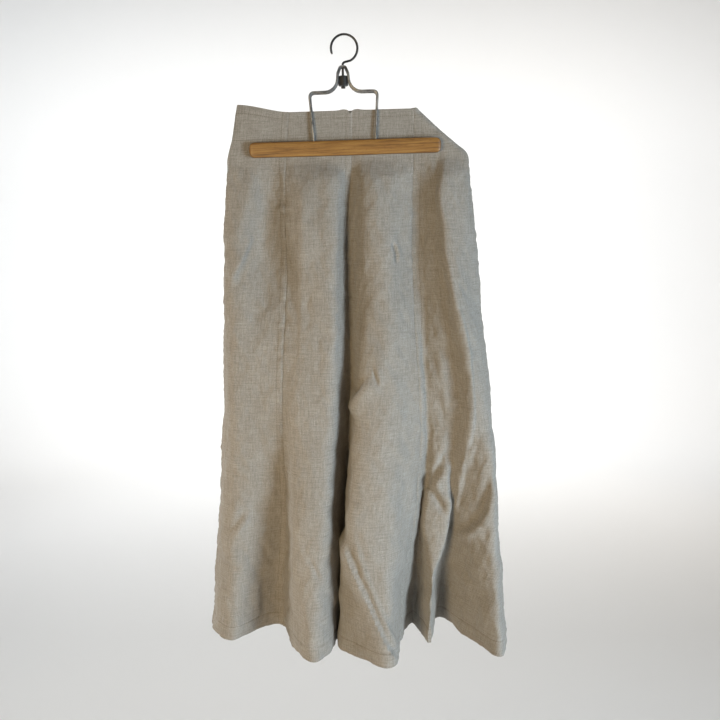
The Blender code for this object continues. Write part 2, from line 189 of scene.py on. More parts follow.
def linenMaterial(name, look):
    # woven linen: uneven yarns both ways, dashes along the stitch lines, and a weave in the bump
    n = Nodes(name)
    uv = n.add("ShaderNodeUVMap", {"uv_map": "clothUv"}).outputs[0]
    # the layers of yarns, each by its share
    yarns = None
    for stretch, detail, rough, share in look["layers"]:
        part = n.maths("MULTIPLY", n.noise(uv, 1.0, stretch, detail, rough), share)
        yarns = part if yarns is None else n.maths("ADD", yarns, part)
    drift = n.noise(uv, 1.0, (16, 10, 1), 3.0, 0.6)
    tone = n.ramp(yarns, [(0.38, look["dark"]), (0.51, look["flax"]), (0.64, look["pale"])])
    shade = n.ramp(drift, [(0.30, (0.90, 0.89, 0.875)), (0.70, (1.0, 1.0, 1.0))])
    tone = n.mix(1.0, tone, shade, "MULTIPLY")
    # stitches: dashes where the distance to a stitch line is under half a thread
    split = n.add("ShaderNodeSeparateXYZ", None, Vector=uv)
    dashes = []
    for line, run in (("sideStitch", split.outputs[1]), ("crossStitch", split.outputs[0])):
        gap = n.add("ShaderNodeAttribute", {"attribute_name": line}).outputs["Fac"]
        near = n.maths("SUBTRACT", 1.25, n.maths("DIVIDE", gap, 0.65 * mm), True)
        beat = n.maths("FRACT", n.maths("DIVIDE", run, look["stitch"]))
        on = n.maths("LESS_THAN", beat, 0.72)
        dashes.append(n.maths("MULTIPLY", near, on))
    stitch = n.maths("MAXIMUM", dashes[0], dashes[1])
    tone = n.mix(n.maths("MULTIPLY", stitch, 0.8), tone, look["thread"])
    n.set("Base Color", tone)
    n.set("Roughness", look["roughness"])
    n.set("Sheen Weight", look["sheen"])
    n.set("Sheen Roughness", 0.6)
    n.set("Specular IOR Level", 0.25)
    # plain weave: two crossed ripples a yarn apart, over the slubs
    pi2 = 2 * math.pi / look["yarn"]
    across = n.maths("SINE", n.maths("MULTIPLY", split.outputs[0], pi2))
    down = n.maths("SINE", n.maths("MULTIPLY", split.outputs[1], pi2))
    weave = n.maths("MULTIPLY", n.maths("ADD", across, down), 0.16)
    height = n.maths("ADD", weave, yarns)
    height = n.maths("ADD", height, n.maths("MULTIPLY", stitch, 0.8))
    n.bump(height, 0.55, 0.35 * mm)
    return n.material


woodLook = {
    "light": (0.385, 0.205, 0.052),
    "middle": (0.275, 0.132, 0.030),
    "dark": (0.115, 0.046, 0.011),
    # colour of the painted shade at the bar's long edges and ends
    "rim": (0.070, 0.030, 0.010),
    "roughness": 0.42,
    "coat": 0.25,
}


def woodMaterial(name, look, shift):
    # varnished wood: grain drawn out along the bar, short pores, and shade painted darker at the long
    # edges and the ends
    n = Nodes(name)
    place = n.add("ShaderNodeTexCoord").outputs["Object"]
    moved = n.add("ShaderNodeMapping", None, Vector=place, Location=(shift, shift, shift)).outputs[0]
    wander = n.noise(moved, 1.0, (9, 60, 60), 2.0, 0.5)
    rings = n.noise(n.add("ShaderNodeMapping", None, Vector=moved, Rotation=(0.0, 0.05, 0.0)).outputs[0],
                    1.0, (14, 320, 420), 3.0, 0.6)
    fibre = n.noise(moved, 1.0, (60, 1500, 1800), 2.0, 0.6)
    pores = n.noise(moved, 1.0, (150, 1300, 1500), 1.0, 0.5)
    grain = n.maths("ADD", n.maths("MULTIPLY", rings, 0.6), n.maths("MULTIPLY", fibre, 0.25))
    grain = n.maths("ADD", grain, n.maths("MULTIPLY", wander, 0.15))
    tone = n.ramp(grain, [(0.34, look["dark"]), (0.47, look["middle"]), (0.62, look["light"])])
    fleck = n.ramp(pores, [(0.63, (0.0, 0.0, 0.0)), (0.72, (1.0, 1.0, 1.0))])
    tone = n.mix(n.maths("MULTIPLY", fleck, 0.55), tone, look["dark"])
    # painted shade: the rim value darkens the long edges and the ends towards the rim colour
    rim = n.add("ShaderNodeAttribute", {"attribute_name": "rim"}).outputs["Fac"]
    tone = n.mix(n.maths("MULTIPLY", rim, 0.75), tone, look["rim"])
    n.set("Base Color", tone)
    n.set("Roughness", look["roughness"])
    n.set("Coat Weight", look["coat"])
    n.set("Coat Roughness", 0.30)
    n.bump(n.maths("SUBTRACT", grain, n.maths("MULTIPLY", fleck, 0.4)), 0.35, 0.25 * mm)
    return n.material


def wireMaterial(name, bright, dull, roughness, metallic):
    # drawn wire: fine scratches and a blotchy, slightly dulled plating
    n = Nodes(name)
    place = n.add("ShaderNodeTexCoord").outputs["Object"]
    blotch = n.noise(place, 1.0, (90, 90, 70), 4.0, 0.6)
    scratch = n.noise(place, 1.0, (1600, 1600, 120), 2.0, 0.6)
    n.set("Base Color", n.ramp(blotch, [(0.35, dull), (0.62, bright)]))
    rough = n.add("ShaderNodeMapRange", None, Value=scratch, i1=0.3, i2=0.7, i3=roughness - 0.08,
                  i4=roughness + 0.12)
    n.set("Roughness", rough.outputs[0])
    n.set("Metallic", metallic)
    n.bump(scratch, 0.2, 0.1 * mm)
    return n.material


barrelLook = {"deep": (0.010, 0.010, 0.011), "worn": (0.026, 0.025, 0.024), "roughness": 0.42}


def barrelMaterial(name, look):
    # matt black with faint worn specks
    n = Nodes(name)
    place = n.add("ShaderNodeTexCoord").outputs["Object"]
    speck = n.noise(place, 1.0, (500, 500, 500), 3.0, 0.6)
    n.set("Base Color", n.ramp(speck, [(0.3, look["deep"]), (0.7, look["worn"])]))
    n.set("Roughness", look["roughness"])
    n.bump(speck, 0.15, 0.1 * mm)
    return n.material


# ---------- the skirt's form ----------

skirt = {
    "waist": -113, "gripTop": -154, "gripLow": -186, "yoke": -222, "hip": -333,
    "knee": -586, "hem": -1000,         # heights of the levels, in mm below the hook's rest
    "gripY": 1.7, "edgeY": 3.0,         # half distance between the layers, in mm
    "tilt": math.radians(1.7),          # the hanger is a little off level
    "cornerRise": 14,                   # the waist line climbs to its corners
    "yokeDepth": 0.50,                  # share of the hip's folds already there at the yoke
    "outer": 0.62, "wall": 0.95,        # outer skin from the middle surface, and the wall, in mm
    "columns": 62, "rows": 280,
    "wideGore": "side_front_right",     # has twice the columns
}

# one row per ridge, valley or flank, from the left side seam over the shown side to the
# right side seam and back behind: x waist, x grip, x hip, y hip, x knee, y knee, x hem, y hem
folds = {
    "leftSide": (-170, -189, -199, 0, -207, 2, -239, -4),
    "flute1": (-134, -150, -182, -17, -184, -41, -198, -57),
    "valley1Left": (-110, -120, -137, -3, -138, -44, -148, -12),
    "valley1": (-88, -94, -98, -14, -103, -50, -113, -6),
    "flute2Left": (-63, -67, -71, -29, -75, -64, -86, -78),
    "flute2": (-38, -40, -42, -34, -45, -74, -56, -124),
    "flute2Right": (-13, -14, -15, -30, -19, -66, -30, -102),
    "valley2": (12, 12, 5, -1, 5, -8, -5, -15),
    "flute3Left": (34, 35, 35, -28, 21, -70, -6, -78),
    "flute3": (73, 74, 70, -37, 68, -90, 70, -139),
    "flute3Right": (110, 112, 113, -9, 127, -47, 98, -58),
    "valley3": (122, 125, 127, -9, 140, -38, 119, 5),
    "finLeft": (133, 138, 137, -14, 151, -41, 139, -56),
    "finRight": (141, 147, 147, -21, 165, -45, 149, -55),
    "valley4": (151, 158, 157, -28, 180, -49, 168, 22),
    "flute5Left": (163, 171, 168, -35, 208, -72, 209, -37),
    "flute5": (176, 187, 192, -25, 234, -52, 251, -110),
    "rightSide": (188, 199, 215, -4, 243, -12, 278, -50),
    "turn": (177, 187, 205, 14, 232, 24, 266, 22),
    "back1": (147, 155, 165, 26, 190, 50, 226, 92),
    "backValley1": (110, 112, 118, 18, 140, 36, 176, 58),
    "back2": (69, 70, 75, 32, 88, 78, 106, 148),
    "backValley2": (28, 29, 30, 16, 36, 34, 46, 60),
    "back3": (-12, -13, -15, 30, -18, 74, -18, 140),
    "backValley3": (-51, -54, -55, 17, -62, 34, -72, 56),
    "back4": (-88, -94, -98, 30, -115, 74, -132, 144),
    "backValley4": (-117, -125, -140, 20, -160, 36, -186, 56),
    "back5": (-145, -155, -175, 20, -197, 42, -228, 74),
}

# places where a fold swells or sinks between the levels, by fold:
# height, half height of the place, shift in x and in y, all mm
touches = {
    "flute1": [(-290, 90, 8, -3)],
    "valley1Left": [(-450, 70, 0, -8), (-760, 100, 8, -4), (-285, 85, 6, 8)],
    "valley1": [(-450, 70, 0, -4), (-390, 90, 4, 3), (-760, 100, 7, 0)],
    "flute2Left": [(-800, 190, -4, -13), (-400, 80, 6, 4), (-290, 95, 0, -9)],
    "flute2": [(-290, 95, 0, -8)],
    "flute2Right": [(-470, 110, 2, -6), (-290, 95, 2, -7)],
    "valley2": [(-530, 95, 4, -14), (-310, 80, -2, 5), (-960, 110, -2, -14)],
    "flute3Left": [(-500, 60, 2, -4), (-840, 190, -2, -22), (-740, 70, -2, -13), (-1000, 80, -2, 9),
                   (-290, 95, -3, -11)],
    "flute3": [(-860, 200, 0, 4), (-290, 95, 0, -4)],
    "flute3Right": [(-520, 100, -7, -6), (-900, 85, -9, 0), (-300, 110, -3, 7)],
    "valley3": [(-790, 75, -4, -4), (-520, 100, -9, 0), (-300, 110, 0, 5)],
    "finLeft": [(-790, 75, -12, 2), (-520, 100, -7, -2), (-890, 70, 5, -3)],
    "finRight": [(-790, 75, 14, -4), (-520, 100, -4, -4), (-890, 70, -6, 2)],
    "valley4": [(-790, 75, 3, -6), (-250, 60, -8, -4), (-390, 80, 5, -4)],
    "flute5Left": [(-250, 60, -14, -8), (-390, 90, 6, -7), (-690, 90, 0, 5)],
    "flute5": [(-300, 110, 3, -4), (-480, 80, 3, 4), (-690, 80, 2, -13), (-960, 150, 6, 5)],
    "back1": [(-1000, 260, -4, 14)],
    "back2": [(-1000, 260, 12, -34), (-620, 130, -8, -12)],
    "backValley2": [(-1000, 260, 8, 14)],
    "back3": [(-1000, 260, -6, 5), (-600, 120, 8, 10)],
    "backValley3": [(-1000, 260, 8, -12)],
    "back4": [(-1000, 260, 8, -20)],
    "backValley4": [(-1000, 260, -2, 12)],
}

# each gore runs from one fold to another, counted along the rows of folds; 28 closes the round
gores = {
    "side_front_left": (0, 3), "front_left": (3, 7), "front_right": (7, 10),
    "side_front_right": (10, 17), "side_back_right": (17, 20), "back_right": (20, 22.4),
    "back_left": (22.4, 25), "side_back_left": (25, 28),
}

foldNames = list(folds)


def levelControls():
    # heights of the seven levels and the folds' x and y there
    s = skirt
    rows = np.array(list(folds.values()), float)
    side = np.sign(rows[:, 3])
    side[foldNames.index("leftSide")] = 0
    side[foldNames.index("rightSide")] = 0
    levels = ("waist", "gripTop", "gripLow", "yoke", "hip", "knee", "hem")
    heights = np.array([s[level] for level in levels], float)
    gripShare = (s["gripTop"] - s["waist"]) / (s["gripLow"] - s["waist"])
    yokeShare = (s["yoke"] - s["gripLow"]) / (s["hip"] - s["gripLow"])
    waistX, gripX, hipX, hipY, kneeX, kneeY, hemX, hemY = rows.T
    gripY = side * s["gripY"]
    xs = np.stack([waistX, waistX + (gripX - waistX) * gripShare, gripX,
                   gripX + (hipX - gripX) * yokeShare, hipX, kneeX, hemX])
    ys = np.stack([side * s["edgeY"], gripY, gripY,
                   gripY * (1 - s["yokeDepth"]) + hipY * s["yokeDepth"], hipY, kneeY, hemY])
    return heights, xs, ys


def throughLevels(z, heights, values):
    # cubic through the levels, each slope the harmonic mean of its two neighbours' slopes,
    # so a fold never swings past the level it is given at
    step = np.diff(heights)[:, None]
    slope = np.diff(values, axis=0) / step
    tangent = np.zeros_like(values)
    product = slope[:-1] * slope[1:]
    total = np.where(product > 0, slope[:-1] + slope[1:], 1.0)
    tangent[1:-1] = np.where(product > 0, 2 * product / total, 0.0)
    tangent[0] = slope[0]
    tangent[-1] = slope[-1]
    i = np.clip(np.searchsorted(-heights, -z) - 1, 0, len(heights) - 2)
    span = (heights[i + 1] - heights[i])[:, None]
    u = ((z - heights[i])[:, None]) / span
    return ((1 + 2 * u) * (1 - u) ** 2 * values[i] + u * (1 - u) ** 2 * span * tangent[i]
            + u * u * (3 - 2 * u) * values[i + 1] + u * u * (u - 1) * span * tangent[i + 1])


def foldControls(z):
    # x and y of every fold at every height, with the touches added as soft bells in height
    heights, xs, ys = levelControls()
    x = throughLevels(z, heights, xs)
    y = throughLevels(z, heights, ys)
    for name, places in touches.items():
        fold = foldNames.index(name)
        for height, spread, dx, dy in places:
            bell = np.exp(-((z - height) / spread) ** 2)
            x[:, fold] += dx * bell
            y[:, fold] += dy * bell
    return x, y


def closedCurve(control, t):
    # Catmull-Rom curve round the folds: control is (heights, folds), t counts folds
    n = control.shape[1]
    i = np.floor(t).astype(int)
    f = t - i
    p0, p1 = control[:, (i - 1) % n], control[:, i % n]
    p2, p3 = control[:, (i + 1) % n], control[:, (i + 2) % n]
    return 0.5 * (2 * p1 + (p2 - p0) * f + (2 * p0 - 5 * p1 + 4 * p2 - p3) * f ** 2
                  + (3 * p1 - p0 - 3 * p2 + p3) * f ** 3)


# ---------- the folded corner ----------

cornerFold = {
    "start": (118.8, -112.0), "along": (0.757, -0.654),   # where the slanted line runs, in mm
    "shift": -6.9, "radius": 4.4, "gain": 4.6,            # roll of the cloth, wider lower down
    "widenFrom": 77, "widenOver": 36,                     # where along the line the roll widens
    "turn": math.radians(102),
}


def foldCorner(p):
    # beyond the slanted line the cloth rolls round an axis behind it by the turn,
    # keeping each point's distance from the middle surface
    c = cornerFold
    ax, az = c["along"]
    dx = p[..., 0] - c["start"][0]
    dz = p[..., 2] - c["start"][1]
    along = dx * ax + dz * az
    s = dz * ax - dx * az - c["shift"]
    bend = c["radius"] + c["gain"] * smoothStep((along - c["widenFrom"]) / c["widenOver"])
    turn = np.clip(s / bend, 0.0, c["turn"])
    rest = np.maximum(s - bend * c["turn"], 0.0)
    radius = bend - p[..., 1]
    rolled = np.where(s > 0, radius * np.sin(turn) + rest * np.cos(turn), s) + c["shift"]
    out = p.copy()
    out[..., 0] = c["start"][0] + along * ax - rolled * az
    out[..., 2] = c["start"][1] + along * az + rolled * ax
    out[..., 1] = np.where(s > 0, bend - radius * np.cos(turn) + rest * np.sin(turn), p[..., 1])
    return out


# ---------- creases, listed one by one -----

# path (x, z), height of the ridge (a trough is negative), width on its left and on its
# right as one walks along it, share of the length that fades at each end; all mm
shownCreases = [
    ([(157, -282), (160, -306), (166, -344), (179, -411), (195, -475), (204, -540), (208, -606),
      (198, -686), (187, -787)], 5.0, 3.0, 16.0, 0.12),
    ([(-64, -210), (-67, -300), (-69, -412), (-72, -525)], 3.0, 10.0, 4.0, 0.25),
    ([(75, -318), (80, -328), (82, -340), (83, -354)], -4.2, 2.6, 2.2, 0.2),
    ([(79, -318), (84, -330), (86, -342), (87, -352)], 2.6, 4.0, 2.6, 0.3),
    ([(44, -512), (48, -526), (53, -545)], -2.8, 3.0, 1.8, 0.3),
    ([(51, -510), (55, -526), (60, -545)], 2.4, 5.0, 3.0, 0.3),
    ([(44, -530), (32, -552), (20, -572), (12, -604)], 8.0, 14.0, 6.0, 0.25),
    ([(34, -528), (24, -544), (14, -562)], -5.0, 5.0, 6.0, 0.3),
    ([(-166, -760), (-176, -778), (-188, -796), (-206, -822)], -4.0, 4.0, 9.0, 0.25),
    ([(-160, -768), (-174, -792), (-190, -812)], 3.0, 5.0, 9.0, 0.3),
    ([(-214, -872), (-202, -866), (-190, -868), (-174, -866)], -3.2, 4.0, 7.0, 0.25),
    ([(-212, -858), (-196, -852), (-176, -852)], 2.2, 8.0, 6.0, 0.3),
    ([(0, -792), (20, -850), (41, -897), (61, -947), (84, -1010)], 10.0, 3.0, 20.0, 0.10),
    ([(12, -770), (34, -842), (54, -895), (74, -945), (92, -1000)], 4.0, 3.0, 9.0, 0.2),
    ([(176, -650), (153, -692), (137, -714), (139, -728), (155, -748), (170, -781)], -5.0, 7.0, 5.0, 0.2),
    ([(186, -662), (166, -700), (156, -722), (172, -750), (184, -780)], 4.0, 7.0, 7.0, 0.3),
    ([(212, -640), (206, -665), (198, -690)], 4.5, 5.0, 4.0, 0.3),
    ([(238, -680), (232, -715), (226, -750), (208, -787), (184, -802)], -6.0, 9.0, 9.0, 0.2),
    ([(246, -700), (240, -730), (232, -764), (212, -800), (186, -814)], 5.0, 8.0, 7.0, 0.25),
    ([(-60, -826), (-50, -842), (-40, -866)], -2.6, 3.0, 5.0, 0.3),
    ([(-150, -306), (-160, -330), (-172, -356), (-192, -400)], 3.4, 4.0, 7.0, 0.25),
    ([(-145, -300), (-152, -330), (-163, -358), (-180, -400)], -2.6, 6.0, 6.0, 0.3),
    ([(-196, -690), (-182, -705), (-160, -712)], -2.2, 7.0, 5.0, 0.3),
    ([(150, -560), (162, -600), (166, -640)], -3.0, 8.0, 8.0, 0.3),
    ([(98, -250), (104, -300), (100, -352)], 2.0, 9.0, 6.0, 0.3),
    ([(-30, -200), (-27, -250), (-30, -310)], 1.8, 8.0, 8.0, 0.3),
    ([(40, -196), (48, -240), (52, -300)], 2.0, 9.0, 8.0, 0.3),
    ([(-130, -196), (-134, -232), (-132, -280)], -1.8, 8.0, 8.0, 0.3),
    ([(206, -822), (222, -856), (232, -900)], 3.0, 10.0, 8.0, 0.3),
    ([(190, -850), (204, -880), (226, -900)], -3.0, 8.0, 8.0, 0.3),
    ([(-150, -900), (-158, -940), (-150, -985)], 3.0, 9.0, 9.0, 0.3),
    ([(-70, -900), (-58, -940), (-60, -992)], 3.0, 10.0, 8.0, 0.3),
]

# the hidden side has the same sort of creases in other places
hiddenCreases = [
    ([(-60, -200), (-64, -290), (-70, -400), (-84, -500)], 3.4, 4.0, 12.0, 0.2),
    ([(62, -196), (66, -280), (74, -380), (84, -470)], 3.6, 12.0, 4.0, 0.2),
    ([(-20, -330), (-14, -344), (-15, -362)], -2.4, 1.6, 1.8, 0.25),
    ([(-95, -560), (-104, -585), (-98, -612)], -3.0, 4.0, 3.0, 0.3),
    ([(120, -600), (106, -640), (112, -690), (100, -740)], 5.0, 5.0, 10.0, 0.25),
    ([(108, -770), (92, -830), (80, -890), (60, -960)], 6.0, 12.0, 4.0, 0.2),
    ([(-40, -780), (-22, -840), (-8, -900), (2, -985)], 6.0, 4.0, 12.0, 0.2),
    ([(-150, -760), (-136, -800), (-118, -830)], -4.0, 6.0, 8.0, 0.3),
    ([(-196, -700), (-182, -760), (-190, -820)], 3.6, 6.0, 8.0, 0.3),
    ([(196, -720), (182, -770), (192, -830)], -4.0, 8.0, 7.0, 0.3),
    ([(150, -870), (164, -905), (190, -930)], 3.6, 7.0, 7.0, 0.3),
    ([(-130, -880), (-112, -930), (-118, -985)], 3.4, 8.0, 9.0, 0.3),
    ([(12, -520), (2, -545), (6, -580)], -3.0, 4.0, 4.0, 0.3),
    ([(150, -400), (162, -450), (160, -510)], 3.0, 8.0, 6.0, 0.3),
    ([(-160, -380), (-170, -440), (-166, -500)], 3.0, 7.0, 7.0, 0.3),
]


def creaseHeight(x, z, crease):
    # height of one crease: a bell of the signed distance to its path, with its own width
    # on each side, times a fade towards both ends
    path, height, leftWidth, rightWidth, fade = crease
    path = np.array(path, float)
    k = np.linspace(0, len(path) - 1.0001, 6 * len(path))
    i = k.astype(int)
    f = (k - i)[:, None]
    ends = np.concatenate([[2 * path[0] - path[1]], path, [2 * path[-1] - path[-2]]])
    p0, p1, p2, p3 = ends[i], ends[i + 1], ends[i + 2], ends[np.minimum(i + 3, len(ends) - 1)]
    line = 0.5 * (2 * p1 + (p2 - p0) * f + (2 * p0 - 5 * p1 + 4 * p2 - p3) * f ** 2
                  + (3 * p1 - p0 - 3 * p2 + p3) * f ** 3)
    reach = 3.2 * max(leftWidth, rightWidth)
    low, high = line.min(0) - reach, line.max(0) + reach
    near = (x > low[0]) & (x < high[0]) & (z > low[1]) & (z < high[1])
    out = np.zeros_like(x)
    if not near.any():
        return out
    px, pz = x[near], z[near]
    best = np.full(px.shape, 1e9)
    signed = np.zeros(px.shape)
    where = np.zeros(px.shape)
    length = np.concatenate([[0], np.cumsum(np.hypot(*np.diff(line, axis=0).T))])
    for a, b, start in zip(line[:-1], line[1:], length[:-1]):
        d = b - a
        size = np.hypot(*d)
        along = np.clip(((px - a[0]) * d[0] + (pz - a[1]) * d[1]) / size ** 2, 0, 1)
        ex, ez = px - a[0] - along * d[0], pz - a[1] - along * d[1]
        gap = np.hypot(ex, ez)
        closer = gap < best
        best = np.where(closer, gap, best)
        signed = np.where(closer, gap * np.sign(d[0] * ez - d[1] * ex), signed)
        where = np.where(closer, (start + along * size) / length[-1], where)
    width = np.where(signed > 0, leftWidth, rightWidth)
    ends = smoothStep(where / fade) * smoothStep((1 - where) / fade)
    out[near] = height * np.exp(-(signed / width) ** 2) * ends
    return out


def ripples(p, seed, count, across, down, size):
    # sum of plane waves through space, so it runs on over the seams; size is its rms in mm
    rng = np.random.default_rng(seed)
    total = np.zeros(p.shape[:-1])
    for _ in range(count):
        angle = rng.uniform(0, 2 * math.pi)
        flat = 2 * math.pi / rng.uniform(*across)
        wave = np.array([flat * math.cos(angle), flat * math.sin(angle),
                         2 * math.pi / rng.uniform(*down) * rng.choice([-1, 1])])
        total += np.sin(p @ wave + rng.uniform(0, 2 * math.pi))
    return total * size / math.sqrt(count / 2)


def wander(z, seed, short, long, count=7):
    # one-dimensional ripple of unit rms with wavelengths between short and long
    rng = np.random.default_rng(seed)
    total = np.zeros_like(z)
    for _ in range(count):
        total += np.sin(2 * math.pi * z / rng.uniform(short, long) + rng.uniform(0, 2 * math.pi))
    return total / math.sqrt(count / 2)


# fine unevenness of worn linen: seed, number of waves, then wavelengths across and down and
# the rms height in mm
crumple = {
    "broad": (11, 16, (34, 110), (120, 420), 0.75),
    "middle": (12, 24, (12, 36), (26, 90), 0.42),
    "fine": (14, 26, (6, 15), (9, 30), 0.16),
    "low": (13, 14, (40, 120), (50, 160), 0.55),       # grows towards the hem
}
lowGrowth = {"least": 0.6, "more": 0.9, "from": -600, "over": 300}


# ---------- seams, topstitching, waist and hem ----------

# each seam by the gore on its left: which side its allowance is pressed to, and how far off
# the topstitching runs, in mm
seams = {
    "side_front_left": ("left", 10.0), "front_left": ("left", 9.7), "front_right": ("right", 13.0),
    "side_front_right": ("right", 10.0), "side_back_right": ("right", 10.0),
    "back_right": ("left", 10.0), "back_left": ("right", 10.0), "side_back_left": ("left", 10.0),
}
edges = {"waistStitch": 11.0, "facing": 41.0, "hemStitch": 24.0}
goreNames = list(gores)

# heights in mm that the layers under the cloth, the seams and the stitches give its face
relief = {
    "ditch": 0.75, "ditchWidth": 1.5,           # the seam itself
    "allowance": 0.45,                          # pressed to the stitched side
    "groove": 0.45, "grooveWidth": 0.9,         # topstitching along seams and hem
    "facing": 0.30, "waistGroove": 0.40, "facingGroove": 0.25, "waistWidth": 0.8,
    "hem": 0.35, "roping": 0.22,
    "pucker": 0.36, "puckerFrom": 6, "puckerWidth": 9, "puckerWaves": (9, 26),
    "ropingWaves": (14, 34),
    "turned": 0.5,                              # more wall where the cloth is turned in
    # shares left where the clamp presses
    "inClamp": 0.45, "puckerInClamp": 0.25, "facingInClamp": 0.35,
}

# spacing of the grid in mm: off a seam and about its stitching, off an edge and about its
# stitching, then the even rows between and how clear of the others they stay
spacing = {
    "seam": (0.15, 0.6, 1.1, 1.8, 2.7, 4.2, 6.2), "seamStitch": (-1.6, -0.7, 0, 0.7, 1.6, 3.0),
    "edge": (0.0, 0.3, 0.8, 1.6, 2.6, 4.2, 6.4), "edgeStitch": (-1.4, -0.6, 0, 0.6, 1.4),
    "evenFrom": 8.5, "clear": 1.2,
    "curve": 1000, "past": 0.2,         # points on a gore's curve, folds it runs past a seam
    "apart": 500,                       # each gore's cloth has its own place in the weave
    "far": 50.0,                        # distance given where a seam has no stitching
    "release": 18,                      # the cloth comes free this far below the clamp
}

# the small notch at the top of the closure, in mm
notch = {"x": 9.5, "deep": 4.0, "half": 2.6, "rim": 1.6, "rimAt": 11, "rimHalf": 7, "down": 9}

# the waist line climbs to its corners: middle, start and length of the climb, in mm
cornerClimb = {"middle": 12, "from": 95, "over": 92}


def seamRelief(gap, stitched, stitch):
    # the ditch of the seam, the ridge of the allowance under the cloth, and the stitch groove
    r = relief
    height = -r["ditch"] * np.exp(-(gap / r["ditchWidth"]) ** 2)
    if stitched:
        height += r["allowance"] * smoothStep(gap / 3.0) * smoothStep((stitch + 2.0 - gap) / 2.0)
        height -= r["groove"] * np.exp(-((gap - stitch) / r["grooveWidth"]) ** 2)
    return height


def seamColumns(stitch):
    # distances from a seam where the grid has columns
    return np.array([*spacing["seam"], *(stitch + d for d in spacing["seamStitch"])])


def rowHeights():
    # heights of the grid's rows: close at the top edge, at the stitch lines and at the hem
    s = skirt
    top, low = s["waist"], s["hem"]
    length = top - low
    fixed = [*spacing["edge"], *(length - d for d in spacing["edge"])]
    for stitch in (edges["waistStitch"], edges["facing"], length - edges["hemStitch"]):
        fixed += [stitch + d for d in spacing["edgeStitch"]]
    fixed = np.array(fixed)
    even = np.linspace(spacing["evenFrom"], length - spacing["evenFrom"], s["rows"])
    even = even[np.min(np.abs(even[:, None] - fixed[None, :]), axis=1) > spacing["clear"]]
    return top - np.sort(np.concatenate([fixed, even]))


def goreForm(name, z):
    # smooth middle surface of a gore: at each height the stretch of the closed curve between
    # its seams, then the hanger's tilt, fading towards the hem, and the climb to the corners
    s, c = skirt, cornerClimb
    first, last = gores[name]
    leftSeam, rightSeam = seams[goreNames[goreNames.index(name) - 1]], seams[name]
    fx, fy = foldControls(z)
    # the curve runs on past both seams, so that neighbours agree on its direction there
    t = np.linspace(first - spacing["past"], last + spacing["past"], spacing["curve"])
    x, y = closedCurve(fx, t), closedCurve(fy, t)
    size = np.hypot(np.gradient(x, axis=1), np.gradient(y, axis=1))
    tx, ty = np.gradient(x, axis=1) / size, np.gradient(y, axis=1) / size
    run = np.concatenate([np.zeros((len(z), 1)),
                          np.cumsum(np.hypot(np.diff(x, axis=1), np.diff(y, axis=1)), axis=1)], axis=1)
    start = np.array([np.interp(first, t, r) for r in run])[:, None]
    width = np.array([np.interp(last, t, r) for r in run]) - start[:, 0]
    run -= start
    # distances from the left seam where the grid has columns
    count = s["columns"] * (2 if name == s["wideGore"] else 1)
    leftCols, rightCols = seamColumns(leftSeam[1]), seamColumns(rightSeam[1])
    share = np.linspace(0, 1, count + 2)[1:-1]
    inside = leftCols[-1] + share[None, :] * (width[:, None] - leftCols[-1] - rightCols[-1])
    want = np.concatenate([np.broadcast_to(leftCols, (len(z), len(leftCols))), inside,
                           width[:, None] - rightCols[::-1][None, :]], axis=1)

    def along(values):
        # values of the curve at the wanted distances
        return np.stack([np.interp(w, r, v) for w, r, v in zip(want, run, values)])

    px, py = along(x), along(y)
    fade = 1 - smoothStep((s["gripLow"] - z) / (s["gripLow"] - s["hem"]))
    top = smoothStep((z - s["gripTop"]) / (s["waist"] - s["gripTop"]))
    rise = s["cornerRise"] * smoothStep((np.abs(px - c["middle"]) - c["from"]) / c["over"])
    pz = z[:, None] + math.tan(s["tilt"]) * px * fade[:, None] + rise * top[:, None]
    p = np.stack([px, py, pz], -1)
    # outward normal: down the cloth crossed with along the curve
    normal = np.cross(np.gradient(p, axis=0), np.stack([along(tx), along(ty), np.zeros_like(px)], -1))
    normal /= np.linalg.norm(normal, axis=-1, keepdims=True)
    return {
        "p": p, "x": px, "z": pz, "normal": normal, "want": want, "width": width,
        "fromLeft": want, "fromRight": width[:, None] - want,
        "fromTop": (s["waist"] - z)[:, None] * np.ones_like(px),
        "fromHem": (z - s["hem"])[:, None] * np.ones_like(px),
        "free": smoothStep((s["gripLow"] - z) / spacing["release"])[:, None],
        "leftSeam": leftSeam, "rightSeam": rightSeam,
    }


def goreLift(name, z, form):
    # height of the creases and ripples, none of it in the clamp, and of the seams' puckers
    r, g, free = relief, lowGrowth, form["free"]
    k = goreNames.index(name)
    lift = np.zeros_like(form["x"])
    shown = gores[name][0] < foldNames.index("rightSide")
    for crease in (shownCreases if shown else hiddenCreases):
        lift += creaseHeight(form["x"], form["z"], crease)
    for kind in ("broad", "middle", "fine"):
        lift += ripples(form["p"], *crumple[kind])
    deeper = g["least"] + g["more"] * smoothStep((g["from"] - z) / g["over"])[:, None]
    lift += ripples(form["p"], *crumple["low"]) * deeper
    lift *= free
    for gap, seed in ((form["fromLeft"], 31 + k), (form["fromRight"], 32 + k)):
        pucker = wander(z, seed, *r["puckerWaves"])[:, None]
        pucker = pucker * np.exp(-((gap - r["puckerFrom"]) / r["puckerWidth"]) ** 2)
        lift += r["pucker"] * pucker * (r["puckerInClamp"] + (1 - r["puckerInClamp"]) * free)
    return lift


